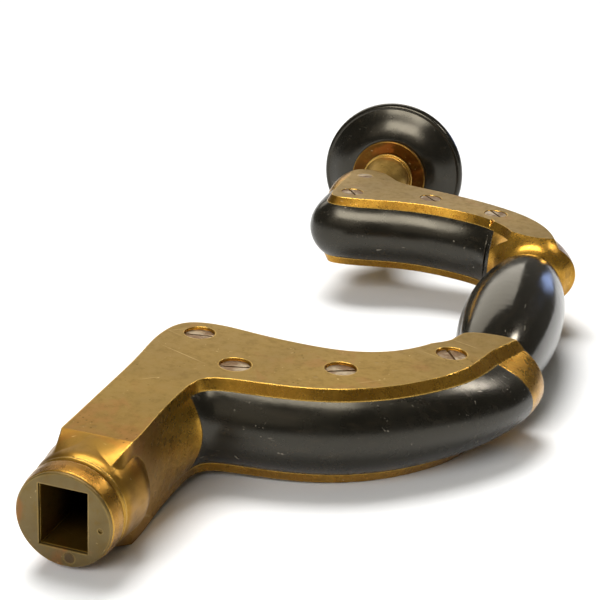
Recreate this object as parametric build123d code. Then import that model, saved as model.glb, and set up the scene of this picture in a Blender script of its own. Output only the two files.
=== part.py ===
"""Brass-framed bit brace: a crank with an ebony-filled lower and upper arm, a turning
grip between them, a swivel head at one end and a square bit socket at the other.

Frame: the origin is the centre of the nose face. +Y runs along the turning axis from the
socket to the head, +X from that axis to the grip, +Z is normal to the flat cheeks.
Everything is in millimetres.
"""

from build123d import *
import math
import os

# Arms: a flat-cheeked section, bevelled at the cheeks and bowed out at mid height.
HALF_THICKNESS = 14.0
CHEEK = 3.2                       # thickness of each brass cheek
INFILL_HALF = HALF_THICKNESS - CHEEK
BEVEL_SHARE = 0.21                # part of the bow that the cheek's bevel already covers
BOW_SAG = 5.5                     # how far a 10.8 mm half chord bows out
BOW_RADIUS = (INFILL_HALF**2 + BOW_SAG**2) / (2 * BOW_SAG)
SWEEP = 79.4                      # turning axis to grip axis

# Bit socket, a tapered square-tang hole, taller than wide at its mouth.
SOCKET_MOUTH = (12.5, 16.1)
SOCKET_END = (8.0, 11.0)
SOCKET_RISE = 0.5                 # the mouth is filed a little towards +Z
SOCKET_DEPTH = 32.0

# Nose: plate, lock ring and the core they sit on.
PLATE_R = 12.2
PLATE_T = 0.8
CORE_R = 11.6
RING_Y = (0.85, 5.45)
RING_BORE_R = 11.65
RING_FRONT_R = 12.4
RING_REAR_R = 12.9
RIVET_R = 1.4
RIVET_AT = (1.5, -9.6)            # x, z on the nose plate
DOT_R = 0.55
DOT_AT = (9.4, -0.6)

# Bit catch, behind the ring on the +X side.
CATCH_Y = (RING_Y[0] + RING_Y[1]) / 2
CATCH_TRAVEL = 1.2
RING_TURN = 30.0                  # degrees of ring that withdraw the catch
CAM_REST_R = 10.3
CAM_LEAD = 10.0                   # degrees of plain cam before and after the slope
POCKET_FLOOR_R = 10.1
POCKET_HALF_ANGLE = 43.0
POCKET_END_GAP = 0.05
CATCH_STEM_R = 1.1
CATCH_HEAD_R = 1.6
CATCH_HEAD_X = (9.3, 10.2)
CATCH_TIP_X = 5.2
CATCH_FIT = 0.05
SPRING_SEAT_X = 7.9
SPRING_WIRE_R = 0.2
SPRING_R = 1.5
SPRING_WELL_R = 1.8
SPRING_TURNS = 2.25

# Foot of the lower frame.
FOOT_FRONT_Y = 17.3
FOOT_END_Y = 51.5                 # where the lower infill starts
FOOT_X = (-9.0, 9.6)              # sides of the foot block at its front
WEB_START_Y = 8.6                 # filed square-to-round web, from the bead to the block
WEB_START_R = 12.7
NECKING_Y = (5.5, 7.6)            # turned groove and bead behind the ring

# Screws through the cheeks: x, y, slot angle in degrees.
SCREW_HEAD_R = 4.3
SCREW_HOLE_R = 4.45
SCREW_HEAD_T = 1.1
SCREW_SHANK_R = 2.0
SCREW_LENGTH = 12.0
SLOT_W = 0.9
SLOT_DEPTH = 0.8
LOWER_SCREWS = [(-0.3, 86.0, 10), (16.5, 69.4, 16), (43.7, 78.9, 28), (70.0, 102.3, 118)]
UPPER_SCREWS = [(2.2, 249.7, 120), (33.2, 256.0, 130), (60.8, 247.1, 125)]
LOWER_SINK = 0.7                  # how far the heads sit below the cheek
UPPER_SINK = 0.15
LOCK_SCREW_AT = (1.0, 276.0)

# Turned neck and swivel head.
FRAME_END_Y = 296.0
NECK_END_Y = 327.8
DISC_Y = (328.2, 330.8)
DISC_R = 17.2
HEAD_SPINDLE_R = 5.0
NECK_STEM_R = 7.0
RUNNING_FIT = 0.05
TUBE_R = 8.0
TUBE_END_Y = 343.0
HEAD_TOP_Y = 354.0
NUT_WELL_R = 9.5
CAP_Y = 351.0

# Grip and its spindle.
LOWER_LUG_END_Y = 122.4
UPPER_LUG_END_Y = 218.6
LOWER_INFILL_END_Y = 107.5
UPPER_INFILL_END_X = 62.4
# Turned ends of the two arms round the grip axis, as (radius, y).
LOWER_LUG_TURNING = [(26.0, 104.0), (20.0, 109.0), (17.8, 113.0), (17.0, 117.0), (16.3, 119.4),
                     (14.2, 121.6), (11.0, LOWER_LUG_END_Y)]
UPPER_LUG_TURNING = [(9.0, UPPER_LUG_END_Y), (12.2, 220.9), (14.2, 223.9), (16.0, 225.9),
                     (17.6, 227.4), (20.0, 231.0), (28.0, 246.0)]
GRIP_Y = (122.8, 218.2)
GRIP_SPINDLE_R = 4.0
SPINDLE_Y = (109.5, 237.0)
BUSH_R = 6.0
BUSH_LENGTH = 12.0

# Plan outlines. Each row is a point on the cheek's edge and its partner on the bowed
# edge at mid height; the first row of each list is at the foot or neck.
LOWER_OUTER = [
    ((9.6, 17.3), (9.6, 17.3)),
    ((9.4, 34.0), (10.4, 34.0)),
    ((9.7, 48.0), (12.4, 47.0)),
    ((12.4, 57.8), (15.2, 52.2)),
    ((20.0, 60.4), (21.5, 53.4)),
    ((33.0, 62.0), (35.0, 55.0)),
    ((46.0, 65.6), (49.0, 59.0)),
    ((58.0, 72.5), (62.8, 67.0)),
    ((68.0, 82.2), (74.5, 77.2)),
    ((74.7, 92.0), (84.4, 88.4)),
    ((78.4, 101.5), (91.0, 99.0)),
    ((80.3, 108.5), (94.3, 108.0)),
    ((83.2, 115.0), (95.6, 115.0)),
    ((87.0, 122.4), (96.0, 122.4)),
]
LOWER_INNER = [
    ((-9.0, 17.3), (-9.0, 17.3)),
    ((-9.2, 40.0), (-11.5, 40.0)),
    ((-9.8, 66.0), (-16.0, 66.0)),
    ((-10.2, 82.0), (-17.0, 84.0)),
    ((-6.6, 91.6), (-12.5, 96.0)),
    ((2.0, 94.1), (0.5, 101.2)),
    ((14.0, 92.6), (14.5, 99.8)),
    ((30.0, 90.9), (30.0, 98.1)),
    ((44.0, 92.0), (41.5, 98.8)),
    ((54.0, 96.8), (49.5, 102.3)),
    ((62.0, 105.4), (56.5, 109.5)),
    ((67.4, 116.2), (62.4, 117.0)),
    ((69.0, 122.4), (63.6, 122.4)),
]
UPPER_INNER = [
    ((-5.5, 283.0), (-12.0, 283.0)),
    ((-5.5, 268.0), (-14.0, 268.0)),
    ((-5.4, 250.0), (-13.8, 249.0)),
    ((-3.2, 241.2), (-9.8, 237.6)),
    ((4.0, 240.6), (3.0, 233.4)),
    ((18.0, 243.8), (19.0, 236.8)),
    ((32.0, 245.6), (31.5, 238.4)),
    ((46.0, 243.8), (43.0, 237.0)),
    ((58.0, 239.4), (54.0, 233.4)),
    ((66.0, 232.5), (61.0, 227.6)),
    ((70.4, 225.4), (63.0, 224.2)),
    ((71.6, 218.6), (63.6, 218.6)),
]
UPPER_OUTER = [
    ((7.0, 284.5), (12.0, 284.5)),
    ((10.4, 280.8), (14.5, 281.5)),
    ((16.6, 273.4), (19.8, 278.0)),
    ((26.0, 269.6), (27.6, 276.0)),
    ((43.0, 264.8), (46.0, 271.4)),
    ((61.0, 257.0), (65.4, 263.4)),
    ((72.0, 249.4), (78.5, 254.6)),
    ((80.6, 238.6), (88.8, 243.0)),
    ((84.6, 229.6), (94.2, 231.0)),
    ((87.0, 218.6), (95.6, 218.6)),
]

os.makedirs("parts", exist_ok=True)
GRIP_AXIS = Axis((SWEEP, 0, 0), (0, 1, 0))


def save(node, shape):
    export_step(shape, f"parts/{node}.step")


def bow_share(z):
    """Share of the full bow reached at height z inside the infill."""
    rise = (math.sqrt(BOW_RADIUS**2 - z**2) - (BOW_RADIUS - BOW_SAG)) / BOW_SAG
    return BEVEL_SHARE + (1 - BEVEL_SHARE) * rise


def level_wire(first_edge, second_edge, share, z):
    """Closed plan outline at height z, share of the way from cheek edge to bowed edge."""

    def points(edge):
        return [
            (cx + share * (mx - cx), cy + share * (my - cy), z)
            for (cx, cy), (mx, my) in edge
        ]

    first, second = points(first_edge), points(second_edge)
    return Wire(
        [
            Spline(*first),
            Line(first[-1], second[-1]),
            Spline(*second),
            Line(second[0], first[0]),
        ]
    )


def cheek(first_edge, second_edge, side):
    """Bevelled brass plate on the +Z (side 1) or -Z (side -1) face of an arm."""
    return Solid.make_loft(
        [
            level_wire(first_edge, second_edge, BEVEL_SHARE, side * INFILL_HALF),
            level_wire(first_edge, second_edge, 0, side * HALF_THICKNESS),
        ],
        ruled=True,
    )


def bowed_core(first_edge, second_edge):
    """Everything between the cheeks of an arm, with its sides bowed out."""
    heights = [INFILL_HALF * k / 3 for k in (-3, -2, -1, 0, 1, 2, 3)]
    return Solid.make_loft(
        [level_wire(first_edge, second_edge, bow_share(z), z) for z in heights]
    )


def turned(profile, axis=Axis.Y, centre_x=0.0):
    """Solid of revolution from (radius, y) points or edges joined by straight lines."""
    points = [(centre_x + r, y) for r, y in profile]
    return revolve(make_face(Polyline(*points, close=True)), axis)


def turned_curve(curve_points, centre_x=0.0, axis=Axis.Y):
    """Solid of revolution under a smooth (radius, y) curve, closed to the axis."""
    points = [(centre_x + r, y) for r, y in curve_points]
    edges = [
        Spline(*points),
        Line(points[-1], (centre_x, points[-1][1])),
        Line((centre_x, points[-1][1]), (centre_x, points[0][1])),
        Line((centre_x, points[0][1]), points[0]),
    ]
    return revolve(make_face(Wire(edges)), axis)


def rod(radius, y0, y1, x=0.0, z=0.0):
    """Cylinder along Y."""
    return Pos(x, (y0 + y1) / 2, z) * Rot(90, 0, 0) * Cylinder(radius, y1 - y0)


def post(radius, x, y, z0, z1):
    """Cylinder along Z."""
    return Pos(x, y, (z0 + z1) / 2) * Cylinder(radius, z1 - z0)


def side_rod(radius, x0, x1, y, z=0.0):
    """Cylinder along X."""
    return Pos((x0 + x1) / 2, y, z) * Rot(0, 90, 0) * Cylinder(radius, x1 - x0)


def block(x, y, z):
    """Box given by its low and high x, y and z."""
    size = [high - low for low, high in (x, y, z)]
    centre = [(high + low) / 2 for low, high in (x, y, z)]
    return Pos(*centre) * Box(*size)


def prism(plan_points):
    """Upright prism over a plan polygon, taller than the arms."""
    face = make_face(Polyline(*plan_points, close=True))
    return Pos(0, 0, -20) * extrude(face, 40, dir=(0, 0, 1))


def cheek_slab():
    """The space between the two cheek planes."""
    return block((-60, 160), (-10, 400), (-HALF_THICKNESS, HALF_THICKNESS))


def socket_void():
    """Tapered square-tang hole, open at the nose face."""
    mouth = Pos(0, -0.01, SOCKET_RISE) * Rot(90, 0, 0) * Rectangle(*SOCKET_MOUTH)
    end = Pos(0, SOCKET_DEPTH, 0) * Rot(90, 0, 0) * Rectangle(*SOCKET_END)
    return loft([mouth.face(), end.face()])


# Cheek screws ---------------------------------------------------------------------------


def screw(x, y, slot_angle, side, sink):
    """Slotted countersunk wood screw whose head sits below the cheek face."""
    top = HALF_THICKNESS - sink
    neck_z = top - SCREW_HEAD_T
    cone_z = neck_z - (SCREW_HEAD_R - SCREW_SHANK_R)
    tip_z = top - SCREW_LENGTH
    profile = make_face(
        Polyline(
            (0, tip_z),
            (SCREW_SHANK_R - 0.8, tip_z),
            (SCREW_SHANK_R, tip_z + 1.5),
            (SCREW_SHANK_R, cone_z),
            (SCREW_HEAD_R, neck_z),
            (SCREW_HEAD_R, top - 0.15),
            (SCREW_HEAD_R - 0.3, top),
            (0, top),
            close=True,
        )
    )
    body = revolve(Rot(90, 0, 0) * profile, Axis.Z)
    slot = Pos(0, 0, top) * Rot(0, 0, slot_angle) * Box(3 * SCREW_HEAD_R, SLOT_W, 2 * SLOT_DEPTH)
    placed = body - slot
    if side < 0:
        placed = Rot(180, 0, 0) * placed
    return Pos(x, y, 0) * placed


def screw_hole(x, y, side, sink):
    """Countersunk hole that the screw fills up to its head's face."""
    top = HALF_THICKNESS - sink
    neck_z = top - SCREW_HEAD_T
    cone_z = neck_z - (SCREW_HEAD_R - SCREW_SHANK_R)
    profile = make_face(
        Polyline(
            (0, top - SCREW_LENGTH),
            (SCREW_SHANK_R, top - SCREW_LENGTH),
            (SCREW_SHANK_R, cone_z),
            (SCREW_HEAD_R, neck_z),
            (SCREW_HEAD_R, top - 0.3),
            (SCREW_HOLE_R, top - 0.3),
            (SCREW_HOLE_R, HALF_THICKNESS + 1),
            (0, HALF_THICKNESS + 1),
            close=True,
        )
    )
    hole = revolve(Rot(90, 0, 0) * profile, Axis.Z)
    if side < 0:
        hole = Rot(180, 0, 0) * hole
    return Pos(x, y, 0) * hole


def screw_set(places, side, sink):
    return Compound([screw(x, y, angle, side, sink) for x, y, angle in places])


def screw_holes(places, sink):
    return [screw_hole(x, y, side, sink) for x, y, _ in places for side in (1, -1)]


# Lower frame and its infill -------------------------------------------------------------


def lower_infill_region():
    """The space the lower infill takes, from the foot to the lug."""
    return block((-40, 110), (FOOT_END_Y, LOWER_INFILL_END_Y), (-HALF_THICKNESS, HALF_THICKNESS))


def foot_turning():
    """Turned nose end of the foot: core, groove, bead, necking and its run-out."""
    groove_y, bead_y = NECKING_Y
    core = turned([(0, PLATE_T), (CORE_R, PLATE_T), (CORE_R, groove_y), (0, groove_y)])
    bead = turned(
        [(0, groove_y), (12.1, groove_y), (12.1, groove_y + 0.5), (12.6, groove_y + 0.7),
         (12.9, groove_y + 1.1), (12.9, groove_y + 1.4), (12.5, bead_y), (0, bead_y)]
    )
    necking = turned_curve(
        [(12.5, bead_y), (12.95, bead_y + 0.8), (13.3, 11.0), (13.75, 15.0),
         (13.9, 17.3), (12.8, 20.5), (10.8, 24.0), (9.0, 28.0)]
    )
    return core + bead + necking + foot_web()


def foot_web():
    """Filed square-to-round transition from the bead to the corners of the foot block."""
    left, right = FOOT_X
    top = HALF_THICKNESS
    corners = [(right, -top), (right, top), (left, top), (left, -top)]

    def on_circle(angle):
        return (WEB_START_R * math.cos(angle), WEB_START_Y, WEB_START_R * math.sin(angle))

    arcs, sides = [], []
    for (x0, z0), (x1, z1) in zip(corners, corners[1:] + corners[:1]):
        start, end = math.atan2(z0, x0), math.atan2(z1, x1)
        if end < start:
            end += 2 * math.pi
        middle = (start + end) / 2
        arcs.append(ThreePointArc(on_circle(start), on_circle(middle), on_circle(end)))
        sides.append(Line((x0, FOOT_FRONT_Y, z0), (x1, FOOT_FRONT_Y, z1)))
    return Solid.make_loft([Wire(arcs), Wire(sides)], ruled=True)


def prism_sector(below, above, inner_r, outer_r, y0, y1):
    """Part ring about Y, from `below` degrees under +X to `above` degrees over it."""

    def at(radius, angle):
        turn = math.radians(angle)
        return (radius * math.cos(turn), 0, radius * math.sin(turn))

    edges = [
        ThreePointArc(at(inner_r, -below), at(inner_r, (above - below) / 2), at(inner_r, above)),
        Line(at(inner_r, above), at(outer_r, above)),
        ThreePointArc(at(outer_r, above), at(outer_r, (above - below) / 2), at(outer_r, -below)),
        Line(at(outer_r, -below), at(inner_r, -below)),
    ]
    return Pos(0, y0, 0) * extrude(make_face(Wire(edges)), y1 - y0, dir=(0, 1, 0))


def lock_pocket():
    """Recess in the core's +X side that the ring's cam and the catch's head move in."""
    low, high = RING_Y[0] - POCKET_END_GAP, RING_Y[1] + POCKET_END_GAP
    sector = prism_sector(POCKET_HALF_ANGLE, POCKET_HALF_ANGLE, POCKET_FLOOR_R, 20.0, low, high)
    well = side_rod(SPRING_WELL_R, SPRING_SEAT_X, 20, CATCH_Y)
    guide = side_rod(CATCH_STEM_R + CATCH_FIT, 3.0, 12, CATCH_Y)
    return sector + well + guide


def lower_lug_trim():
    """The space inside the lower arm's turned end, and everything before it."""
    rest_of_arm = block((-60, 160), (-10, LOWER_LUG_TURNING[0][1]), (-20, 20))
    return rest_of_arm + turned_curve(LOWER_LUG_TURNING, SWEEP, GRIP_AXIS)


def lower_frame():
    body = bowed_core(LOWER_OUTER, LOWER_INNER) - lower_infill_region()
    for side in (1, -1):
        body += cheek(LOWER_OUTER, LOWER_INNER, side)
    body &= lower_lug_trim()
    body += foot_turning()
    body -= socket_void()
    body -= lock_pocket()
    body -= rod(GRIP_SPINDLE_R, SPINDLE_Y[0], LOWER_LUG_END_Y + 1, SWEEP)
    body -= rivet_hole()
    for hole in screw_holes(LOWER_SCREWS, LOWER_SINK):
        body -= hole
    return body


def lower_infill():
    body = bowed_core(LOWER_OUTER, LOWER_INNER) & lower_infill_region()
    for hole in screw_holes(LOWER_SCREWS, LOWER_SINK):
        body -= hole
    return body


# Upper frame and its infill -------------------------------------------------------------


def upper_infill_region():
    """Plan of the space the upper infill takes, from the neck to the lug."""
    end_x = UPPER_INFILL_END_X
    return prism([(-40, 268.0), (20.0, 268.0), (20.0, 300.0), (84.0, 300.0), (84.0, 262.0),
                  (end_x, 240.0), (end_x, 200.0), (-40, 200.0)])


def upper_lug_trim():
    """The space inside the upper arm's turned end, and everything beyond it."""
    rest_of_arm = block((-60, 160), (UPPER_LUG_TURNING[-1][1], 400), (-20, 20))
    before_lug = block((-60, UPPER_INFILL_END_X - 2), (200, 400), (-20, 20))
    return rest_of_arm + before_lug + turned_curve(UPPER_LUG_TURNING, SWEEP, GRIP_AXIS)


def neck_turning():
    """Turned end of the upper frame, where the neck screws in."""
    boss = turned_curve(
        [(10.0, 262.0), (13.0, 268.0), (15.0, 275.0), (15.2, 281.0), (14.0, 286.5),
         (11.8, 290.5), (10.6, 294.0), (10.4, FRAME_END_Y)]
    )
    return boss & cheek_slab()


def upper_frame():
    body = bowed_core(UPPER_INNER, UPPER_OUTER) - upper_infill_region()
    for side in (1, -1):
        body += cheek(UPPER_INNER, UPPER_OUTER, side)
    body &= upper_lug_trim()
    body += neck_turning()
    body -= rod(GRIP_SPINDLE_R, UPPER_LUG_END_Y - 1, SPINDLE_Y[1], SWEEP)
    body -= rod(NECK_STEM_R, 270.0, FRAME_END_Y + 1)
    body -= lock_screw_hole()
    for hole in screw_holes(UPPER_SCREWS, UPPER_SINK):
        body -= hole
    return body


def upper_infill():
    body = bowed_core(UPPER_INNER, UPPER_OUTER) & upper_infill_region()
    body &= upper_lug_trim()
    body -= neck_turning()
    for hole in screw_holes(UPPER_SCREWS, UPPER_SINK):
        body -= hole
    return body


def lock_screw_hole():
    x, y = LOCK_SCREW_AT
    return post(3.2, x, y, 5.0, HALF_THICKNESS + 1)


def neck_lock_screw():
    """Headless slotted screw, filed flush with the cheek, that holds the neck's stem."""
    x, y = LOCK_SCREW_AT
    slot = Pos(x, y, HALF_THICKNESS) * Rot(0, 0, 15) * Box(9, 0.7, 0.8)
    return post(3.2, x, y, 5.0, HALF_THICKNESS) - slot


# Nose -----------------------------------------------------------------------------------


def rivet_hole():
    x, z = RIVET_AT
    return rod(RIVET_R, -1, 5.0, x, z)


def nose_plate():
    """Thin face plate that keeps the lock ring on; its mouth is the bit socket's."""
    disc = turned([(0, 0), (PLATE_R - 0.25, 0), (PLATE_R, 0.25), (PLATE_R, PLATE_T), (0, PLATE_T)])
    dot_x, dot_z = DOT_AT
    return disc - socket_void() - rivet_hole() - rod(DOT_R, -1, 0.45, dot_x, dot_z)


def nose_rivet():
    x, z = RIVET_AT
    return rod(RIVET_R, 0, 5.0, x, z)


def cam_profile_radius(angle):
    """Cam radius over ring angle in degrees from +X towards +Z, in the rest pose."""
    return CAM_REST_R + CATCH_TRAVEL * min(max(angle, 0), RING_TURN) / RING_TURN


def ring_cam():
    """Segment inside the ring whose slope lets the catch out as the ring turns."""

    def at(radius, angle):
        turn = math.radians(angle)
        return (radius * math.cos(turn), 0, radius * math.sin(turn))

    low, high = -CAM_LEAD, RING_TURN + CAM_LEAD
    outer = RING_BORE_R + 0.2
    slope = [at(cam_profile_radius(a), a) for a in (0, RING_TURN / 3, 2 * RING_TURN / 3, RING_TURN)]
    edges = [
        ThreePointArc(at(CAM_REST_R, low), at(CAM_REST_R, low / 2), slope[0]),
        Spline(*slope),
        ThreePointArc(slope[-1], at(CAM_REST_R + CATCH_TRAVEL, high - CAM_LEAD / 2),
                      at(CAM_REST_R + CATCH_TRAVEL, high)),
        Line(at(CAM_REST_R + CATCH_TRAVEL, high), at(outer, high)),
        ThreePointArc(at(outer, high), at(outer, (low + high) / 2), at(outer, low)),
        Line(at(outer, low), at(CAM_REST_R, low)),
    ]
    width = RING_Y[1] - RING_Y[0]
    return Pos(0, RING_Y[0], 0) * extrude(make_face(Wire(edges)), width, dir=(0, 1, 0))


def lock_ring():
    """Turned brass sleeve on the core, with its cam inside."""
    front, rear = RING_Y
    sleeve = turned(
        [(RING_BORE_R, front), (RING_FRONT_R - 0.2, front), (RING_FRONT_R, front + 0.25),
         (12.75, front + 2.2), (RING_REAR_R, rear - 0.5), (RING_REAR_R - 0.3, rear),
         (RING_BORE_R, rear)]
    )
    return sleeve + ring_cam()


def catch():
    """Steel bit catch: domed head, stem and a pointed tip that enters the socket."""
    head_in, head_out = CATCH_HEAD_X
    dome_r = 1.9
    ball = Pos(head_out - dome_r, CATCH_Y, 0) * Sphere(dome_r)
    head = ball & side_rod(CATCH_HEAD_R, head_in, head_out, CATCH_Y)
    stem = side_rod(CATCH_STEM_R, CATCH_TIP_X + 0.9, head_in, CATCH_Y)
    tip = Pos(CATCH_TIP_X + 0.45, CATCH_Y, 0) * Rot(0, 90, 0) * Cone(0.35, CATCH_STEM_R, 0.9)
    return head + stem + tip


def catch_spring():
    """Small compression spring round the catch's stem, between its head and the well."""
    start = SPRING_SEAT_X + SPRING_WIRE_R + 0.03
    end = CATCH_HEAD_X[0] - SPRING_WIRE_R - 0.03
    path = Helix((end - start) / SPRING_TURNS, end - start, SPRING_R,
                 center=(start, CATCH_Y, 0), direction=(1, 0, 0))
    section = Plane(path @ 0, z_dir=path % 0) * Circle(SPRING_WIRE_R)
    return sweep(section, path=path, is_frenet=True)


# Neck and head --------------------------------------------------------------------------


def neck():
    """Turned brass neck: stem in the frame, collar, waist, ball and thrust ring."""
    stem = rod(NECK_STEM_R, 270.0, FRAME_END_Y)
    collar = turned([(0, FRAME_END_Y), (10.2, FRAME_END_Y), (10.9, 296.8), (10.9, 298.2),
                     (10.0, 299.2), (0, 299.2)])
    vase = turned_curve(
        [(9.2, 299.2), (7.6, 303.0), (7.2, 308.0), (8.2, 314.0), (10.0, 319.5),
         (10.7, 323.5), (10.2, 326.3)]
    )
    thrust_ring = turned([(0, 326.3), (11.3, 326.3), (11.6, 326.6), (11.6, 327.5),
                          (11.3, NECK_END_Y), (0, NECK_END_Y)])
    bore = rod(HEAD_SPINDLE_R, 300.0, NECK_END_Y + 1)
    return stem + collar + vase + thrust_ring - bore - lock_screw_hole()


def head_spindle():
    """Steel pin fixed in the neck, on which the head turns."""
    pin = rod(HEAD_SPINDLE_R, 300.0, 344.6)
    thread = rod(3.5, 344.6, 349.5)
    return pin + thread


def head_flange():
    """Brass disc under the head, with the tube that lines the head's bore."""
    low, high = DISC_Y
    disc = turned([(0, low), (DISC_R - 0.3, low), (DISC_R, low + 0.3), (DISC_R, high), (0, high)])
    tube = rod(TUBE_R, high, TUBE_END_Y)
    return disc + tube - rod(HEAD_SPINDLE_R + RUNNING_FIT, low - 1, TUBE_END_Y + 1)


def head():
    """Ebony mushroom head."""
    outline = [
        Line((0, 329.4), (18.0, 329.4)),
        Spline((18.0, 329.4), (21.5, 330.4), (25.5, 332.6), (29.0, 335.2), (30.6, 336.2)),
        Spline((30.6, 336.2), (32.2, 336.7), (32.8, 338.2), (32.2, 341.5), (29.5, 345.8),
               (23.0, 350.2), (12.0, 353.2), (0, HEAD_TOP_Y)),
        Line((0, HEAD_TOP_Y), (0, 329.4)),
    ]
    body = revolve(make_face(Wire(outline)), Axis.Y)
    body -= rod(DISC_R, 320.0, DISC_Y[1])
    body -= rod(TUBE_R, 320.0, TUBE_END_Y)
    body -= rod(NUT_WELL_R, TUBE_END_Y, HEAD_TOP_Y + 1)
    return body


def head_washer():
    ring = rod(8.6, TUBE_END_Y + 0.1, 344.5) - rod(HEAD_SPINDLE_R + 0.1, 340.0, 346.0)
    return ring


def head_nut():
    """Round nut with two spanner slots."""
    nut = rod(7.5, 344.6, 349.0) - rod(3.5, 340.0, 351.0)
    return nut - Pos(0, 349.0, 0) * Box(20, 2.4, 2.2)


def head_cap():
    """Ebony plug that closes the nut's well, level with the dome."""
    dome = revolve(
        make_face(
            Wire(
                [
                    Line((0, CAP_Y), (NUT_WELL_R, CAP_Y)),
                    Line((NUT_WELL_R, CAP_Y), (NUT_WELL_R, 353.45)),
                    Spline((NUT_WELL_R, 353.45), (5.0, 354.0), (0, 354.15)),
                    Line((0, 354.15), (0, CAP_Y)),
                ]
            )
        ),
        Axis.Y,
    )
    return dome


# Grip -----------------------------------------------------------------------------------


def grip_profile():
    """Barrel profile, symmetric about its middle, as (radius, y)."""
    low, high = GRIP_Y
    middle = (low + high) / 2
    half = [(8.2, low), (10.6, low + 5.2), (13.2, low + 14.0), (15.3, low + 27.0)]
    return half + [(16.6, middle)] + [(r, 2 * middle - y) for r, y in reversed(half)]


def grip():
    body = turned_curve(grip_profile(), SWEEP, GRIP_AXIS)
    body -= rod(GRIP_SPINDLE_R + 0.3, GRIP_Y[0] - 1, GRIP_Y[1] + 1, SWEEP)
    for bush in grip_bush_blanks():
        body -= bush
    return body


def grip_bush_blanks():
    low, high = GRIP_Y
    return [rod(BUSH_R, low, low + BUSH_LENGTH, SWEEP), rod(BUSH_R, high - BUSH_LENGTH, high, SWEEP)]


def grip_bushes():
    bore = rod(GRIP_SPINDLE_R + RUNNING_FIT, GRIP_Y[0] - 1, GRIP_Y[1] + 1, SWEEP)
    return Compound([blank - bore for blank in grip_bush_blanks()])


def grip_spindle():
    return rod(GRIP_SPINDLE_R, SPINDLE_Y[0], SPINDLE_Y[1], SWEEP)


save("lower_frame", lower_frame())
save("lower_infill", lower_infill())
save("lower_top_screws", screw_set(LOWER_SCREWS, 1, LOWER_SINK))
save("lower_bottom_screws", screw_set(LOWER_SCREWS, -1, LOWER_SINK))
save("upper_frame", upper_frame())
save("upper_infill", upper_infill())
save("upper_top_screws", screw_set(UPPER_SCREWS, 1, UPPER_SINK))
save("upper_bottom_screws", screw_set(UPPER_SCREWS, -1, UPPER_SINK))
save("neck_lock_screw", neck_lock_screw())
save("nose_plate", nose_plate())
save("nose_rivet", nose_rivet())
save("lock_ring", lock_ring())
save("catch", catch())
save("catch_spring", catch_spring())
save("neck", neck())
save("head_spindle", head_spindle())
save("head_flange", head_flange())
save("head", head())
save("head_washer", head_washer())
save("head_nut", head_nut())
save("head_cap", head_cap())
save("grip", grip())
save("grip_bushes", grip_bushes())
save("grip_spindle", grip_spindle())
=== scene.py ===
"""Looks of a brass-framed, ebony-filled bit brace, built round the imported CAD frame.

Metres, in the CAD frame: +Y runs along the turning axis from socket to head, +X from that
axis to the grip, +Z is normal to the cheeks. Every material is procedural, and reads only
object coordinates and normals, so it stays with its piece at every pose. Colours are
linear, and the scale of a noise or of cells is their number per metre.
"""

import math

import bpy
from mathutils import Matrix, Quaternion, Vector

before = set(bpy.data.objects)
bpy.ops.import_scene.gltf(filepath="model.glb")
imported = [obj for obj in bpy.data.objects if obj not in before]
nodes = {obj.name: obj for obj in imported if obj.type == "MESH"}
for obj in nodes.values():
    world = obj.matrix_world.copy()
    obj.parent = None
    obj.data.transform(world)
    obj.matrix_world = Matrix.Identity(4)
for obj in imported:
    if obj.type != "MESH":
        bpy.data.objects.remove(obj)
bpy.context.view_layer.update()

MM = 0.001

# A box round the bit socket, and where along it the walls darken to black: painted shade
# deep in the socket.
SOCKET_HALF_X = 8.6 * MM
SOCKET_HALF_Z = 10.2 * MM
SOCKET_END = 45 * MM
SOCKET_DARKENS = (5 * MM, 17 * MM)

# The nose end is browner than the arms, and the brown fades out between these places.
NOSE_BROWN = (12 * MM, 42 * MM)


# Shader building ------------------------------------------------------------------------

# Where the Mix node keeps its colour sockets.
MIX_A = 6
MIX_B = 7
MIX_RESULT = 2


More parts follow.
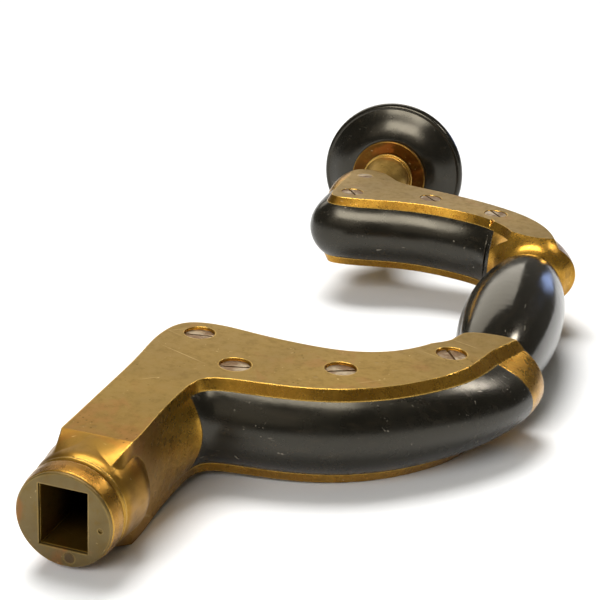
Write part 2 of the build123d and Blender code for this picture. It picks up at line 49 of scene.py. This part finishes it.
class Shade:
    """One principled material, with short calls that add pattern nodes to it."""

    def __init__(self, name, metallic=0.0, **constants):
        self.material = bpy.data.materials.new(name)
        self.material.use_nodes = True
        self.tree = self.material.node_tree
        self.tree.nodes.clear()
        self.shader = self.tree.nodes.new("ShaderNodeBsdfPrincipled")
        output = self.tree.nodes.new("ShaderNodeOutputMaterial")
        self.tree.links.new(self.shader.outputs["BSDF"], output.inputs["Surface"])
        self.shader.inputs["Metallic"].default_value = metallic
        for socket, value in constants.items():
            self.shader.inputs[socket.replace("_", " ")].default_value = value
        coordinates = self.tree.nodes.new("ShaderNodeTexCoord")
        self.place = coordinates.outputs["Object"]
        self.facing = coordinates.outputs["Normal"]

    def add(self, kind, inputs=(), **settings):
        """New node with its inputs fed and its own settings made."""
        node = self.tree.nodes.new(kind)
        for key, value in settings.items():
            setattr(node, key, value)
        for key, value in dict(inputs).items():
            self.feed(node.inputs[key], value)
        return node

    def feed(self, socket, value):
        """Link value to socket if it comes from a node, or else set it there."""
        if isinstance(value, bpy.types.NodeSocket):
            self.tree.links.new(value, socket)
        else:
            socket.default_value = value

    def set(self, **values):
        """Feed the shader's own sockets."""
        for name, value in values.items():
            self.feed(self.shader.inputs[name.replace("_", " ")], value)

    def stretched(self, scale, turn=(0, 0, 0)):
        """Object coordinates turned by degrees, then scaled per axis."""
        turned = self.add(
            "ShaderNodeMapping",
            {"Vector": self.place, "Rotation": [math.radians(a) for a in turn]},
        )
        return self.add(
            "ShaderNodeMapping", {"Vector": turned.outputs[0], "Scale": scale}
        ).outputs[0]

    def noise(self, scale, detail=3.0, rough=0.55, vector=None, distortion=0.0):
        node = self.add(
            "ShaderNodeTexNoise",
            {
                "Vector": vector or self.place,
                "Scale": scale,
                "Detail": detail,
                "Roughness": rough,
                "Distortion": distortion,
            },
        )
        return node.outputs["Fac"]

    def cells(self, scale):
        """Distance to the nearest of many scattered points, in cell sizes."""
        node = self.add(
            "ShaderNodeTexVoronoi", {"Vector": self.place, "Scale": scale}, feature="F1"
        )
        return node.outputs["Distance"]

    def ramp(self, value, low, high, out_low=0.0, out_high=1.0):
        """Smooth step from out_low where value is low to out_high where it is high.

        low may be the larger of the two, and then the step falls as value grows.
        """
        node = self.add(
            "ShaderNodeMapRange",
            {
                "Value": value,
                "From Min": low,
                "From Max": high,
                "To Min": out_low,
                "To Max": out_high,
            },
            interpolation_type="SMOOTHSTEP",
        )
        return node.outputs["Result"]

    def math(self, operation, a, b=0.0):
        node = self.add("ShaderNodeMath", operation=operation)
        self.feed(node.inputs[0], a)
        self.feed(node.inputs[1], b)
        return node.outputs[0]

    def plus(self, a, b):
        return self.math("ADD", a, b)

    def minus(self, a, b):
        return self.math("SUBTRACT", a, b)

    def both(self, a, b):
        """Product: where two masks meet, or one mask at part strength."""
        return self.math("MULTIPLY", a, b)

    def either(self, a, b):
        """The stronger of two masks."""
        return self.math("MAXIMUM", a, b)

    def mix(self, share, a, b):
        """Colour a where share is 0 and b where it is 1."""
        node = self.add("ShaderNodeMix", data_type="RGBA")
        self.feed(node.inputs["Factor"], share)
        for socket, value in ((node.inputs[MIX_A], a), (node.inputs[MIX_B], b)):
            if isinstance(value, bpy.types.NodeSocket):
                self.tree.links.new(value, socket)
            else:
                socket.default_value = (*value, 1.0)
        return node.outputs[MIX_RESULT]

    def scratches(self, turn, length=14.0, width=900.0, keep=0.70):
        """Sparse straight hairlines along the turned X axis, 0 to 1."""
        lines = self.noise(
            1.0, detail=2.0, vector=self.stretched((length, width, width), turn)
        )
        where = self.noise(38.0, detail=2.0, vector=self.stretched((1, 1, 1), turn))
        return self.both(
            self.ramp(lines, keep, keep + 0.05), self.ramp(where, 0.5, 0.62)
        )

    def all_scratches(self, turns, **sizes):
        """Scratches in several directions, each a turn in degrees about X, Y and Z."""
        total = self.scratches(turns[0], **sizes)
        for turn in turns[1:]:
            total = self.either(total, self.scratches(turn, **sizes))
        return total

    def component(self, vector, axis):
        """The X, Y or Z of a vector."""
        return self.add("ShaderNodeSeparateXYZ", {"Vector": vector}).outputs[axis]

    def within(self, axis, limit):
        """1 where the place along this axis is nearer to 0 than limit."""
        distance = self.math("ABSOLUTE", self.component(self.place, axis))
        return self.math("LESS_THAN", distance, limit)

    def facing_up(self):
        """1 on the flat cheeks, 0 on bevels, flanks and turned surfaces."""
        upright = self.math("ABSOLUTE", self.component(self.facing, "Z"))
        return self.ramp(upright, 0.9, 0.985)

    def near_nose(self):
        """1 at the nose, falling to 0 along the foot."""
        start, end = NOSE_BROWN
        return self.ramp(self.component(self.place, "Y"), start, end, 1.0, 0.0)

    def socket_painted_shade(self):
        """Mask for the painted shade in the bit socket: 1 deep in it, 0 near its mouth and
        outside it.
        """
        across = self.both(self.within("X", SOCKET_HALF_X), self.within("Z", SOCKET_HALF_Z))
        depth = self.ramp(self.component(self.place, "Y"), *SOCKET_DARKENS)
        return self.both(across, self.both(depth, self.within("Y", SOCKET_END)))

    def rounded(self, radius):
        """Normal as if every arris were worn to this radius."""
        return self.add(
            "ShaderNodeBevel", {"Radius": radius}, samples=6
        ).outputs["Normal"]

    def worn_edge(self, radius, reach=0.06):
        """1 along arrises, 0 on open faces."""
        geometry = self.add("ShaderNodeNewGeometry")
        cosine = self.add(
            "ShaderNodeVectorMath",
            {0: self.rounded(radius), 1: geometry.outputs["Normal"]},
            operation="DOT_PRODUCT",
        )
        turned = self.minus(1.0, cosine.outputs["Value"])
        return self.ramp(turned, 0.004, reach)

    def bump(self, height, depth, normal=None):
        """Normal bumped by height, which is depth metres high at 1."""
        inputs = {"Height": height, "Distance": depth, "Strength": 1.0}
        if normal is not None:
            inputs["Normal"] = normal
        return self.add("ShaderNodeBump", inputs).outputs["Normal"]


# Materials ------------------------------------------------------------------------------

BRASS_BROWN = (0.205, 0.108, 0.020)
BRASS_RED = (0.30, 0.09, 0.015)
BRASS_SPECKLE = (0.17, 0.098, 0.016)
BRASS_PIT = (0.085, 0.050, 0.014)
BRASS_DENT = (0.16, 0.09, 0.02)
BRASS_SCRATCH = (0.86, 0.66, 0.34)
BRASS_WORN = (0.80, 0.50, 0.11)
# Painted shade: the black that the socket walls turn deep inside the bit socket.
SOCKET_SHADE_BLACK = (0.002, 0.0015, 0.001)

EBONY_BASE = (0.0040, 0.0036, 0.0024)
EBONY_GRAIN = (0.014, 0.0105, 0.006)
EBONY_CLOUD = (0.0075, 0.0066, 0.0044)
EBONY_MARK = (0.26, 0.23, 0.18)
EBONY_WORN = (0.10, 0.075, 0.05)
EBONY_SHINE = (1.0, 0.94, 0.80, 1.0)

STEEL_BRIGHTEST = 0.9


def brass(name, clean, patina, polish, tan=None, lines=None, red=0.0, dull=0.08,
          wear=0.75, foot=False):
    """Old brass: two tones of metal, darker pits and grime, brighter worn arrises.

    clean and patina are the two tones, polish the roughness of clean metal, tan the tone
    of the flat cheeks, lines the turning marks' count per metre along Y, red the strength
    of the copper-coloured stains, dull how much less metallic the film over it is in
    patches, and wear how bright the arrises are. foot adds the brown near the nose and
    painted shade that turns the socket walls black deeper in.
    """
    s = Shade(name, metallic=1.0)
    cloud = s.ramp(s.noise(42.0, detail=6.0, rough=0.62), 0.36, 0.66)
    fine = s.noise(380.0, detail=5.0, rough=0.7)
    tone = s.mix(cloud, clean, patina)
    rough = s.ramp(fine, 0.3, 0.75, polish, polish + 0.12)
    if tan:
        flat = s.facing_up()
        spread = s.ramp(s.noise(19.0, detail=5.0, rough=0.6, distortion=0.6), 0.3, 0.7)
        tone = s.mix(flat, tone, s.mix(spread, tan, [c * 0.74 for c in tan]))
        rough = s.plus(rough, s.both(flat, 0.13))
    if foot:
        brown = s.both(s.near_nose(), 0.65)
        tone = s.mix(brown, tone, BRASS_BROWN)
        rough = s.plus(rough, s.both(brown, 0.12))
    if red:
        stain = s.both(s.ramp(s.noise(55.0, detail=4.0, distortion=1.2), 0.56, 0.68), red)
        tone = s.mix(stain, tone, BRASS_RED)
    pits = s.both(
        s.ramp(s.cells(620.0), 0.22, 0.10), s.ramp(s.noise(75.0, detail=3.0), 0.52, 0.66)
    )
    dents = s.both(
        s.ramp(s.cells(190.0), 0.20, 0.06), s.ramp(s.noise(33.0, detail=2.0), 0.55, 0.66)
    )
    hair = s.all_scratches([(0, 0, 24), (0, 0, -38), (35, 0, 80), (20, 60, 5)])
    edge = s.worn_edge(0.7 * MM)
    edge = s.both(edge, s.ramp(s.noise(150.0, detail=4.0), 0.28, 0.52))
    speckle = s.both(s.ramp(fine, 0.50, 0.66), 0.40)
    tone = s.mix(speckle, tone, BRASS_SPECKLE)
    tone = s.mix(s.both(pits, 0.75), tone, BRASS_PIT)
    tone = s.mix(s.both(dents, 0.45), tone, BRASS_DENT)
    tone = s.mix(s.both(hair, 0.35), tone, BRASS_SCRATCH)
    tone = s.mix(s.both(edge, wear), tone, BRASS_WORN)
    rough = s.minus(rough, s.both(edge, 0.12))
    rough = s.plus(rough, s.both(pits, 0.25))
    height = s.both(fine, 0.22)
    height = s.minus(height, s.both(pits, 0.5))
    height = s.minus(height, dents)
    height = s.minus(height, s.both(hair, 0.25))
    if lines:
        marks = s.noise(1.0, detail=3.0, rough=0.7, vector=s.stretched((4, lines, 4)))
        height = s.plus(height, s.both(marks, 0.9))
    if foot:
        # Painted shade: the socket walls turn black deeper in, where little light reaches.
        tone = s.mix(s.socket_painted_shade(), tone, SOCKET_SHADE_BLACK)
    film = s.ramp(s.noise(31.0, detail=5.0, rough=0.6), 0.3, 0.7, 0.94, 0.94 - dull)
    s.set(
        Base_Color=tone,
        Roughness=rough,
        Metallic=film,
        Normal=s.bump(height, 0.05 * MM, s.rounded(0.45 * MM)),
    )
    return s.material


def ebony(name, polish, scratch_turns, grain=(30, 500, 500), ripple=0.0, scuffs=1.0,
          gloss=1.52):
    """Near-black wood: faint brown grain, pale hairlines and chips, uneven polish.

    polish is the roughness of the smoothest places, scratch_turns the directions of the
    hairlines, grain the count per metre across X, Y and Z, ripple the height of the
    tool's waves, scuffs the strength of all marks, and gloss the index of refraction.
    """
    s = Shade(name, IOR=gloss, Specular_Tint=EBONY_SHINE)
    figure = s.noise(1.0, detail=5.0, rough=0.6, vector=s.stretched(grain))
    cloud = s.ramp(s.noise(26.0, detail=4.0), 0.35, 0.7)
    tone = s.mix(s.ramp(figure, 0.45, 0.8), EBONY_BASE, EBONY_GRAIN)
    tone = s.mix(s.both(cloud, 0.5), tone, EBONY_CLOUD)
    hair = s.all_scratches(scratch_turns, length=11.0, width=760.0, keep=0.70)
    chips = s.both(
        s.ramp(s.cells(230.0), 0.09, 0.045), s.ramp(s.noise(60.0, detail=3.0), 0.60, 0.70)
    )
    dust = s.both(
        s.ramp(s.cells(900.0), 0.20, 0.10), s.ramp(s.noise(48.0, detail=3.0), 0.50, 0.70)
    )
    edge = s.both(s.worn_edge(0.5 * MM, 0.10), s.ramp(s.noise(170.0, detail=4.0), 0.42, 0.6))
    marks = s.either(s.both(hair, 0.6 * scuffs), s.both(chips, 0.5 * scuffs))
    marks = s.either(marks, s.both(dust, 0.05 * scuffs))
    tone = s.mix(marks, tone, EBONY_MARK)
    tone = s.mix(s.both(edge, 0.6), tone, EBONY_WORN)
    rough = s.ramp(s.noise(90.0, detail=6.0, rough=0.65), 0.3, 0.75, polish, polish + 0.10)
    rough = s.plus(rough, s.both(marks, 0.25))
    rough = s.plus(rough, s.both(figure, 0.10))
    height = s.both(figure, 0.25)
    height = s.minus(height, s.both(hair, 0.5))
    height = s.minus(height, chips)
    if ripple:
        waves = s.noise(1.0, detail=2.0, vector=s.stretched((70, 28, 70)))
        height = s.plus(height, s.both(waves, ripple))
    s.set(
        Base_Color=tone,
        Roughness=rough,
        Normal=s.bump(height, 0.03 * MM, s.rounded(0.35 * MM)),
    )
    return s.material


def steel(name, clean, rust, polish, rusty):
    """Steel with brown oxide in patches and bright file and driver marks.

    clean and rust are the two tones, polish the roughness of clean metal, and rusty the
    share of the surface that the oxide covers, roughly.
    """
    s = Shade(name, metallic=1.0)
    spread = s.noise(170.0, detail=6.0, rough=0.65)
    patch = s.ramp(spread, 0.62 - 0.3 * rusty, 0.80 - 0.3 * rusty)
    fine = s.noise(1500.0, detail=3.0)
    tone = s.mix(patch, clean, rust)
    hair = s.all_scratches([(0, 0, 50), (0, 0, -20)], length=60.0, width=2500.0, keep=0.68)
    edge = s.both(s.worn_edge(0.25 * MM), s.ramp(fine, 0.3, 0.5))
    tone = s.mix(s.both(hair, 0.5), tone, [min(c * 1.6, STEEL_BRIGHTEST) for c in clean])
    tone = s.mix(s.both(edge, 0.6), tone, [min(c * 1.7, STEEL_BRIGHTEST) for c in clean])
    rough = s.plus(s.ramp(fine, 0.3, 0.7, polish, polish + 0.1), s.both(patch, 0.2))
    height = s.minus(s.both(patch, 0.6), s.both(hair, 0.5))
    s.set(
        Base_Color=tone,
        Roughness=rough,
        Normal=s.bump(height, 0.03 * MM, s.rounded(0.15 * MM)),
    )
    return s.material


MATERIALS = {
    "frame": brass(
        "frame_brass",
        clean=(0.52, 0.285, 0.040),
        patina=(0.33, 0.165, 0.020),
        polish=0.23,
        tan=(0.290, 0.176, 0.022),
        red=0.25,
        foot=True,
    ),
    "nose": brass(
        "nose_brass",
        clean=(0.165, 0.120, 0.050),
        patina=(0.115, 0.078, 0.026),
        polish=0.40,
        red=0.5,
        dull=0.4,
        wear=0.2,
    ),
    "rivet": brass(
        "rivet_brass",
        clean=(0.11, 0.070, 0.030),
        patina=(0.07, 0.045, 0.02),
        polish=0.42,
        dull=0.4,
        wear=0.1,
    ),
    "ring": brass(
        "ring_brass",
        clean=(0.36, 0.185, 0.028),
        patina=(0.20, 0.085, 0.014),
        polish=0.24,
        lines=5200,
        red=0.8,
    ),
    "neck": brass(
        "neck_brass",
        clean=(0.50, 0.31, 0.075),
        patina=(0.30, 0.17, 0.035),
        polish=0.27,
        lines=3500,
        dull=0.3,
    ),
    "disc": brass(
        "disc_brass",
        clean=(0.105, 0.042, 0.004),
        patina=(0.065, 0.022, 0.002),
        polish=0.36,
        red=0.6,
        dull=0.05,
        wear=0.4,
    ),
    "arm": ebony(
        "arm_ebony",
        polish=0.17,
        scratch_turns=[(0, 0, 20), (30, 0, -50), (80, 10, 60), (60, 0, 5)],
    ),
    "grip": ebony(
        "grip_ebony",
        polish=0.07,
        scratch_turns=[(0, 0, 86), (20, 0, 30)],
        grain=(500, 30, 500),
        ripple=1.6,
        scuffs=0.35,
        gloss=1.60,
    ),
    "head": ebony(
        "head_ebony",
        polish=0.15,
        scratch_turns=[(0, 0, 15), (50, 20, 70)],
        grain=(400, 40, 400),
        ripple=0.8,
        scuffs=0.6,
    ),
    "screw": steel(
        "screw_steel",
        clean=(0.42, 0.34, 0.24),
        rust=(0.24, 0.15, 0.085),
        polish=0.28,
        rusty=0.8,
    ),
    "steel": steel(
        "bright_steel",
        clean=(0.55, 0.54, 0.52),
        rust=(0.25, 0.17, 0.11),
        polish=0.22,
        rusty=0.25,
    ),
}

# Which nodes have which material.
FINISHES = {
    "frame": ["lower_frame", "upper_frame"],
    "nose": ["nose_plate"],
    "rivet": ["nose_rivet"],
    "ring": ["lock_ring"],
    "neck": ["neck", "grip_bushes"],
    "disc": ["head_flange"],
    "arm": ["lower_infill", "upper_infill"],
    "grip": ["grip"],
    "head": ["head", "head_cap"],
    "screw": ["lower_top_screws", "lower_bottom_screws", "upper_top_screws",
              "upper_bottom_screws", "neck_lock_screw"],
    "steel": ["catch", "catch_spring", "head_spindle", "head_washer", "head_nut",
              "grip_spindle"],
}


def finish_nodes():
    """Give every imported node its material."""
    for finish, names in FINISHES.items():
        for name in names:
            mesh = nodes[name].data
            mesh.materials.clear()
            mesh.materials.append(MATERIALS[finish])


# Floor, light and camera ----------------------------------------------------------------

# The brace lies on its foot, the far edge of its lower arm and the rim of its head.
FLOOR_TOUCH = Vector((0.0096, 0.0173, -0.0140))
FLOOR_UP = Vector((-0.0629, 0.0567, 0.9964)).normalized()
FLOOR_HALF = 7.0


def floor_material():
    """Pale matt paper."""
    s = Shade("floor_paper")
    cloud = s.noise(3.0, detail=3.0)
    fine = s.noise(700.0, detail=3.0)
    s.set(
        Base_Color=s.mix(cloud, (0.86, 0.86, 0.855), (0.88, 0.88, 0.875)),
        Roughness=s.ramp(fine, 0.3, 0.7, 0.75, 0.85),
        Normal=s.bump(fine, 0.02 * MM),
    )
    return s.material


def make_floor():
    """Square floor that the brace lies on."""
    side = FLOOR_UP.cross(Vector((0, 1, 0))).normalized()
    ahead = FLOOR_UP.cross(side)
    corners = [
        FLOOR_TOUCH + side * (FLOOR_HALF * a) + ahead * (FLOOR_HALF * b)
        for a, b in ((-1, -1), (1, -1), (1, 1), (-1, 1))
    ]
    mesh = bpy.data.meshes.new("floor")
    mesh.from_pydata(corners, [], [(0, 1, 2, 3)])
    mesh.materials.append(floor_material())
    floor = bpy.data.objects.new("floor", mesh)
    bpy.context.scene.collection.objects.link(floor)


def softbox(name, place, target, width, height, power, colour=(1, 1, 1)):
    """Rectangular light of this many watts at place, facing target."""
    light = bpy.data.lights.new(name, "AREA")
    light.shape = "RECTANGLE"
    light.size = width
    light.size_y = height
    light.energy = power
    light.color = colour
    lamp = bpy.data.objects.new(name, light)
    lamp.location = place
    lamp.rotation_mode = "QUATERNION"
    lamp.rotation_quaternion = (Vector(target) - Vector(place)).to_track_quat("-Z", "Y")
    bpy.context.scene.collection.objects.link(lamp)
    return lamp


def soft_sun(name, towards, strength, spread):
    """Even light from the direction towards, spread degrees wide."""
    light = bpy.data.lights.new(name, "SUN")
    light.energy = strength
    light.angle = math.radians(spread)
    lamp = bpy.data.objects.new(name, light)
    lamp.rotation_mode = "QUATERNION"
    lamp.rotation_quaternion = towards.to_track_quat("Z", "Y")
    bpy.context.scene.collection.objects.link(lamp)
    return lamp


def direction(azimuth, elevation):
    """Unit vector; azimuth in degrees from +Y towards +X."""
    a, e = math.radians(azimuth), math.radians(elevation)
    return Vector((math.sin(a) * math.cos(e), math.cos(a) * math.cos(e), math.sin(e)))


def make_lights():
    """Five panels that only reflections show, and two fills that reflections don't show."""
    middle = Vector((0.04, 0.17, 0.0))
    window = softbox(
        "window",
        middle + direction(-26, 24) * 2.2,
        middle,
        width=1.9,
        height=1.2,
        power=10.5,
        colour=(1.0, 0.94, 0.82),
    )
    side = softbox(
        "side_lamp",
        Vector((0.26, 0.32, 0.29)),
        Vector((0, 0.01, 0)),
        width=0.075,
        height=0.075,
        power=0.42,
        colour=(1.0, 0.94, 0.86),
    )
    key = softbox(
        "key",
        Vector((0.0, 0.07, 0.30)),
        Vector((0.0, 0.25, 0.0)),
        width=0.28,
        height=0.17,
        power=1.5,
        colour=(1.0, 0.95, 0.85),
    )
    card = softbox(
        "front_card",
        middle + direction(-163, 38) * 1.6,
        middle,
        width=1.5,
        height=1.0,
        power=2.6,
        colour=(1.0, 0.90, 0.74),
    )
    chink = softbox(
        "sky_chink",
        Vector((0.35, 1.25, 0.12)),
        Vector((0.08, 0.17, 0)),
        width=0.16,
        height=0.22,
        power=0.25,
        colour=(0.40, 0.55, 1.0),
    )
    for panel in (window, side, key, chink, card):
        panel.visible_diffuse = False
    fill = soft_sun("fill", direction(-40, 58), strength=4.1, spread=37.0)
    front = softbox(
        "front_fill",
        middle + direction(-165, 35) * 2.2,
        middle,
        width=1.4,
        height=1.0,
        power=30,
    )
    for panel in (fill, front):
        panel.visible_glossy = False


def make_world():
    """Dim warm room."""
    world = bpy.data.worlds.new("room")
    world.use_nodes = True
    background = world.node_tree.nodes["Background"]
    background.inputs["Color"].default_value = (0.80, 0.75, 0.64, 1)
    background.inputs["Strength"].default_value = 0.15
    bpy.context.scene.world = world


# Roll is in degrees about the line of sight, lens in mm on a 36 mm sensor.
CAMERA_PLACE = Vector((0.11506, -0.22248, 0.15207))
CAMERA_AIM = Vector((-0.26230, 0.89385, -0.36364))
CAMERA_ROLL = 3.41
CAMERA_LENS = 74.44
CAMERA_SENSOR = 36.0
CAMERA_SHIFT = (0.0260, 0.0096)


def make_camera():
    """The photograph's viewing angle."""
    data = bpy.data.cameras.new("camera")
    data.sensor_width = CAMERA_SENSOR
    data.lens = CAMERA_LENS
    data.shift_x, data.shift_y = CAMERA_SHIFT
    data.clip_start = 0.01
    data.clip_end = 50.0
    camera = bpy.data.objects.new("camera", data)
    camera.location = CAMERA_PLACE
    camera.rotation_mode = "QUATERNION"
    roll = Quaternion((0, 0, 1), math.radians(CAMERA_ROLL))
    camera.rotation_quaternion = CAMERA_AIM.to_track_quat("-Z", "Y") @ roll
    bpy.context.scene.collection.objects.link(camera)
    bpy.context.scene.camera = camera


finish_nodes()
make_floor()
make_lights()
make_world()
make_camera()
bpy.context.scene.view_settings.view_transform = "Standard"
